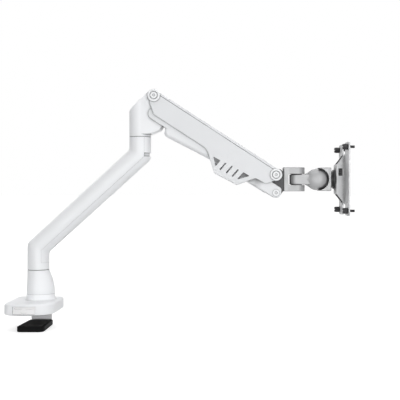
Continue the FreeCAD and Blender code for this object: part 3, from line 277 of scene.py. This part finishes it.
MATERIALS = {
    "white_paint": powder_coat("white_powder_coat", toned("white_paint", 1.03, 0.012), 0.34, reach=4.5),
    "base_paint": powder_coat("base_powder_coat", toned("base_paint", 1.06, 0.012), 0.36,
                              peel=0.018, edge=0.6, gloss=0.2),
    "dark_paint": powder_coat("dark_powder_coat", toned("dark_paint", 0.3), 0.5, gloss=0.25),
    "black_paint": powder_coat("black_powder_coat", toned("black_paint", 0.15), 0.6, peel=0.05, gloss=0.07),
    "bracket_steel": powder_coat("grey_bracket_coat", toned("bracket_steel", 1.3), 0.4),
    "cylinder_paint": powder_coat("black_cylinder_coat", COLOURS["cylinder_paint"], 0.3, peel=0.01),
    "silver_paint": silver_coat("silver_cast_coat", toned("silver_paint", 0.6), 5.0).material,
    "plate_paint": folded_plate("folded_plate_coat", toned("plate_paint", 0.74)),
    "white_plastic": moulded("white_cover_plastic", toned("white_plastic", 0.98, 0.012), 0.36, reach=4.0),
    "cap_plastic": moulded("white_cap_plastic", toned("cap_plastic", 1.02, 0.01), 0.34, 0.006, reach=4.0),
    "insert_plastic": moulded("insert_plastic", toned("insert_plastic", 1.12), 0.5, reach=0.4),
    "black_plastic": moulded("black_plastic", COLOURS["black_plastic"], 0.42),
    "grey_plastic": moulded("bearing_plastic", COLOURS["grey_plastic"], 0.36, 0.006),
    "black_rubber": rubber("black_pad_rubber", COLOURS["black_rubber"]),
    "steel": bright_metal("turned_steel", COLOURS["steel"]),
    "zinc_steel": bright_metal("zinc_plate", COLOURS["zinc_steel"], 0.34, (1.0, 1.0, 6.0)),
    "chrome_rod": bright_metal("chromed_rod", COLOURS["chrome_rod"], 0.12, (1.0, 8.0, 8.0)),
    "black_steel": bright_metal("black_oxide_steel", COLOURS["black_steel"], 0.45, (4.0, 4.0, 4.0)),
}

# Pieces whose coat differs from the rest of their slot: the casing and what lies inside it, where painted
# crevice shade reaches far (frame, link and far cover) to darken the casing's inside, a rounder bar whose
# coat is also a little darker as painted shade under the arm, and a shaft with a dull end.
CASING = toned("white_plastic", 0.9, 0.012)
OWN_COATS = {
    "arm_frame": powder_coat("frame_powder_coat", toned("white_paint", 1.0, 0.012), reach=20.0),
    # Painted shade: the link's coat a little darker, as in the shade under the arm.
    "lower_link": powder_coat("link_shaded_powder_coat", toned("white_paint", 0.97, 0.012), edge=3.0, reach=20.0),
    "arm_cover_near": moulded("near_casing_plastic", CASING),
    "arm_cover_far": moulded("far_casing_plastic", CASING, reach=26.0),
    "rotation_shaft": bright_metal("shaft_steel", toned("steel", 0.45), 0.42, (1.0, 9.0, 9.0)),
}


def dress_nodes():
    """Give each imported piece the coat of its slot, or its own."""
    for entry in frame["record"]["subparts"]:
        piece = NODES[entry["node"]]
        piece.data.materials.clear()
        piece.data.materials.append(OWN_COATS.get(entry["node"]) or MATERIALS[entry["material_slot"]])


def add_piece(name, vertices, faces, slot, body):
    """A mesh piece in the part's frame, dressed in a slot's material and riding on a body."""
    mesh = bpy.data.meshes.new(name)
    mesh.from_pydata([tuple(v) for v in vertices], [], faces)
    mesh.validate()
    mesh.materials.append(MATERIALS[slot])
    piece = bpy.data.objects.new(name, mesh)
    bpy.context.scene.collection.objects.link(piece)
    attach(piece, body)


# ---------------------------------------------------------------- threads and knurls
def rings_joined(count, points):
    """Faces between rings of this many points, closed round each ring and from the last to the first."""
    faces = []
    for row in range(count):
        for i in range(points):
            a, b = row * points + i, row * points + (i + 1) % points
            c, d = ((row + 1) % count) * points + (i + 1) % points, ((row + 1) % count) * points + i
            faces.append((a, b, c, d))
    return faces


def placed(origin, axis, points):
    """Points given as (distance along the axis, radius, angle), in millimetres, put in the part's frame."""
    turn = Vector((0, 0, 1)).rotation_difference(Vector(axis))
    origin = Vector(origin)
    spots = (Vector((r * math.cos(a), r * math.sin(a), along)) for along, r, a in points)
    return [(origin + turn @ spot) * MM for spot in spots]


def add_thread(name, origin, axis, length, radius, pitch, slot, body):
    """Helical ridge wound on a shank, tapering to nothing at both ends."""
    per_turn, run_out = 28, 12
    height, foot, crest = 0.3 * pitch, 0.4 * pitch, 0.12 * pitch
    sunk = radius - 0.15
    count = int(length / pitch * per_turn)
    points, faces = [], []
    for step in range(count + 1):
        along, angle = length * step / count, 2 * math.pi * step / per_turn
        top = radius + height * min(1.0, step / run_out, (count - step) / run_out)
        points += [(along - foot, sunk, angle), (along - crest, top, angle),
                   (along + crest, top, angle), (along + foot, sunk, angle)]
    for step in range(count):
        for i in range(4):
            a, b = step * 4 + i, step * 4 + (i + 1) % 4
            faces.append((a, b, b + 4, a + 4))
    faces += [(3, 2, 1, 0), tuple(count * 4 + i for i in range(4))]
    add_piece(name, placed(origin, axis, points), faces, slot, body)


def add_knurl(name, origin, axis, length, radius, ridges, slot, body):
    """Sleeve of straight knurling pressed round a screw head."""
    taper, ridge, groove, bore = 0.35, 0.28, 0.02, -0.3
    # Rings along the sleeve: each one's place, its height on a ridge and its height in a groove.
    profile = [(0.0, bore, bore), (0.0, 0.0, 0.0), (taper, ridge, groove),
               (length - taper, ridge, groove), (length, 0.0, 0.0), (length, bore, bore)]
    points = []
    for along, high, low in profile:
        for i in range(2 * ridges):
            points.append((along, radius + (high if i % 2 else low), math.pi * i / ridges))
    faces = rings_joined(len(profile), 2 * ridges)
    add_piece(name, placed(origin, axis, points), faces, slot, body)


def add_details():
    """Knurls and threads of the four thumb screws, and the thread of the clamp screw."""
    forward, down = (1, 0, 0), (0, 0, -1)
    knurl_x, thread_x = PLATE_X - 9.2, PLATE_X + 0.4
    dims = STUDS["dims"]
    aside, above = dims["spacing_x_mm"] / 2, dims["spacing_y_mm"] / 2
    corners = [(PLATE_Y + y, PLATE_Z + z) for y in (-aside, aside) for z in (-above, above)]
    for i, corner in enumerate(corners):
        add_knurl("thumb_screw_knurl_%d" % i, (knurl_x, *corner), forward,
                  length=6.2, radius=4.4, ridges=26, slot="black_plastic", body="plate")
        add_thread("thumb_screw_thread_%d" % i, (thread_x, *corner), forward,
                   length=7.2, radius=dims["stud_r_mm"], pitch=0.7, slot="black_plastic", body="plate")
    add_thread("clamp_screw_thread", (0.0, 27.9, 8.0), down,
               length=31.0, radius=3.0, pitch=1.0, slot="zinc_steel", body="screw")


# ---------------------------------------------------------------- floor, light and camera
def seen_directly(tree):
    """1 for a ray that shows the surroundings themselves: straight, mirrored or through glass."""
    path = tree.nodes.new("ShaderNodeLightPath")
    total = path.outputs["Is Camera Ray"]
    for name in ("Is Glossy Ray", "Is Transmission Ray"):
        add = tree.nodes.new("ShaderNodeMath")
        add.operation = "ADD"
        add.use_clamp = True
        tree.links.new(total, add.inputs[0])
        tree.links.new(path.outputs[name], add.inputs[1])
        total = add.outputs["Value"]
    return total


def make_floor(level):
    """Pale floor that keeps the object's shadow and turns plain white further out."""
    width, middle_x = 60.0, 0.25
    near, far, near_glow, far_glow = 0.5, 2.2, 0.72, 1.0
    bpy.ops.mesh.primitive_plane_add(size=width, location=(middle_x, 0.0, level))
    floor = bpy.context.object
    floor.name = "studio_floor"
    material = bpy.data.materials.new("pale_floor")
    material.use_nodes = True
    tree = material.node_tree
    shader = tree.nodes["Principled BSDF"]
    shader.inputs["Base Color"].default_value = (0.62, 0.62, 0.62, 1.0)
    shader.inputs["Roughness"].default_value = 0.9
    shader.inputs["Specular IOR Level"].default_value = 0.1
    place = tree.nodes.new("ShaderNodeTexCoord")
    away = tree.nodes.new("ShaderNodeVectorMath")
    away.operation = "LENGTH"
    tree.links.new(place.outputs["Object"], away.inputs[0])
    rise = tree.nodes.new("ShaderNodeMapRange")
    for name, value in (("From Min", near), ("From Max", far), ("To Min", near_glow), ("To Max", far_glow)):
        rise.inputs[name].default_value = value
    tree.links.new(away.outputs["Value"], rise.inputs["Value"])
    glow = tree.nodes.new("ShaderNodeEmission")
    tree.links.new(rise.outputs["Result"], glow.inputs["Strength"])
    total = tree.nodes.new("ShaderNodeAddShader")
    pick = tree.nodes.new("ShaderNodeMixShader")
    tree.links.new(shader.outputs["BSDF"], total.inputs[0])
    tree.links.new(glow.outputs["Emission"], total.inputs[1])
    tree.links.new(seen_directly(tree), pick.inputs["Fac"])
    tree.links.new(shader.outputs["BSDF"], pick.inputs[1])
    tree.links.new(total.outputs["Shader"], pick.inputs[2])
    tree.links.new(pick.outputs["Shader"], tree.nodes["Material Output"].inputs["Surface"])
    floor.data.materials.append(material)


def make_world(light):
    """Even white surroundings: plain white to look at or in a mirror, dimmer as light."""
    world = bpy.data.worlds.new("studio")
    bpy.context.scene.world = world
    world.use_nodes = True
    tree = world.node_tree
    around = tree.nodes["Background"]
    around.inputs["Color"].default_value = (1.0, 1.0, 1.0, 1.0)
    around.inputs["Strength"].default_value = light
    seen = tree.nodes.new("ShaderNodeBackground")
    seen.inputs["Color"].default_value = (1.0, 1.0, 1.0, 1.0)
    seen.inputs["Strength"].default_value = 1.0
    pick = tree.nodes.new("ShaderNodeMixShader")
    tree.links.new(seen_directly(tree), pick.inputs["Fac"])
    tree.links.new(around.outputs["Background"], pick.inputs[1])
    tree.links.new(seen.outputs["Background"], pick.inputs[2])
    tree.links.new(pick.outputs["Shader"], tree.nodes["World Output"].inputs["Surface"])


def make_softbox(name, place, aim, size, power):
    """Soft rectangular lamp that faces a point; places and sizes in metres, power in watts."""
    light = bpy.data.lights.new(name, "AREA")
    light.shape = "RECTANGLE"
    light.size, light.size_y = size
    light.energy = power
    lamp = bpy.data.objects.new(name, light)
    bpy.context.scene.collection.objects.link(lamp)
    lamp.location = place
    lamp.rotation_euler = (Vector(aim) - Vector(place)).to_track_quat("-Z", "Y").to_euler()


def make_camera(place, lens, shift):
    """Level camera that looks along +Y, framed by a small shift of the lens."""
    data = bpy.data.cameras.new("camera")
    data.lens = lens
    data.shift_x, data.shift_y = shift
    camera = bpy.data.objects.new("camera", data)
    bpy.context.scene.collection.objects.link(camera)
    camera.location = place
    camera.rotation_euler = (math.radians(90), 0.0, 0.0)
    bpy.context.scene.camera = camera


# Each lamp's name, its place, the point it faces, its width and height, and its power.
SOFTBOXES = (
    ("front_box", (0.3, -2.0, 0.1), (0.2, 0.0, 0.1), (1.6, 0.5), 19.5),
    ("top_box", (0.25, -0.5, 2.3), (0.25, 0.0, 0.15), (2.6, 1.8), 20.0),
    ("strip_box", (1.35, -1.75, 0.6), (0.1, 0.0, 0.15), (0.3, 1.4), 6.5),
    ("right_box", (2.6, -1.0, 0.9), (0.2, 0.0, 0.15), (1.6, 1.4), 12.0),
    ("left_box", (-2.1, -1.0, 0.9), (0.1, 0.0, 0.15), (1.6, 1.4), 3.5),
    ("back_box", (0.3, 1.9, 2.1), (0.2, 0.0, 0.2), (2.6, 1.2), 26.0),
    ("far_left_box", (-1.8, 1.5, 1.3), (0.1, 0.0, 0.2), (1.4, 1.2), 8.0),
)

dress_nodes()
add_details()
make_floor(PACKED_BOUNDS[0].z - FLOOR_GAP)
make_world(light=0.1)
for softbox in SOFTBOXES:
    make_softbox(*softbox)
make_camera(place=(0.3293, -1.2, 0.195), lens=66.4, shift=(-0.1025, -0.0225))
bpy.context.scene.view_settings.view_transform = "Standard"
